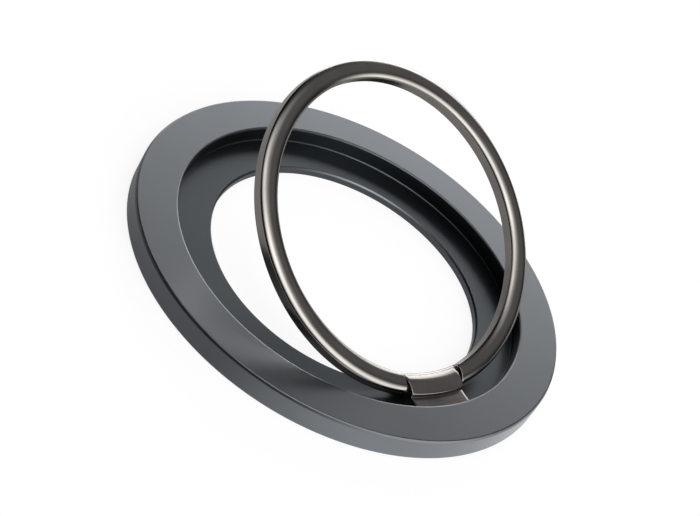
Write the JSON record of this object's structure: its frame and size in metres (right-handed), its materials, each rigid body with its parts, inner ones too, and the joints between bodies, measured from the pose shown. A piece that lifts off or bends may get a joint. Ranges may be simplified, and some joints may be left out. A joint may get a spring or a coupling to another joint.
{
  "type": "phone ring holder",
  "caption": "Flat round magnetic phone mount with a dished metal face, a central hole and an open finger ring hinged on the dish floor.",
  "frame": {"origin": "centre of the back face, on the plane that lies against the phone", "axes": "+Z out of the back plane towards the ring, -Y towards the hinge, X along the hinge axis"},
  "size_m": [0.057, 0.057, 0.0227],
  "materials": {
    "anodised_aluminium": "satin dark blue-grey anodising",
    "gunmetal_steel": "semi-polished dark plating, brushed along the ring",
    "cover_plastic": "fine matt grain",
    "mild_steel": "cold rolled",
    "pin_steel": "ground",
    "screw_steel": "blackened",
    "washer_plastic": "smooth dark nylon",
    "nickel_plated_magnet": "dull nickel plate"
  },
  "bodies": {
    "base": {"housing": "anodised_aluminium", "back_cover": "cover_plastic", "yoke_ring": "mild_steel", "hinge_block": "gunmetal_steel", "hinge_pin": "pin_steel", "friction_washer_left": "washer_plastic", "friction_washer_right": "washer_plastic", "hinge_screw_left": "screw_steel", "hinge_screw_right": "screw_steel", "magnet_01": "nickel_plated_magnet", "magnet_02": "nickel_plated_magnet", "magnet_03": "nickel_plated_magnet", "magnet_04": "nickel_plated_magnet", "magnet_05": "nickel_plated_magnet", "magnet_06": "nickel_plated_magnet", "magnet_07": "nickel_plated_magnet", "magnet_08": "nickel_plated_magnet", "magnet_09": "nickel_plated_magnet", "magnet_10": "nickel_plated_magnet", "magnet_11": "nickel_plated_magnet", "magnet_12": "nickel_plated_magnet", "magnet_13": "nickel_plated_magnet", "magnet_14": "nickel_plated_magnet", "magnet_15": "nickel_plated_magnet", "magnet_16": "nickel_plated_magnet", "magnet_17": "nickel_plated_magnet", "magnet_18": "nickel_plated_magnet"},
    "ring": {"swing_ring": "gunmetal_steel"}
  },
  "joints": [
    {"name": "ring_swing", "type": "hinge", "parent": "base", "child": "ring", "pos_m": [0, -0.01915, 0.00208], "axis": [1, 0, 0], "range_deg": [-30.3, 89.7]}
  ]
}
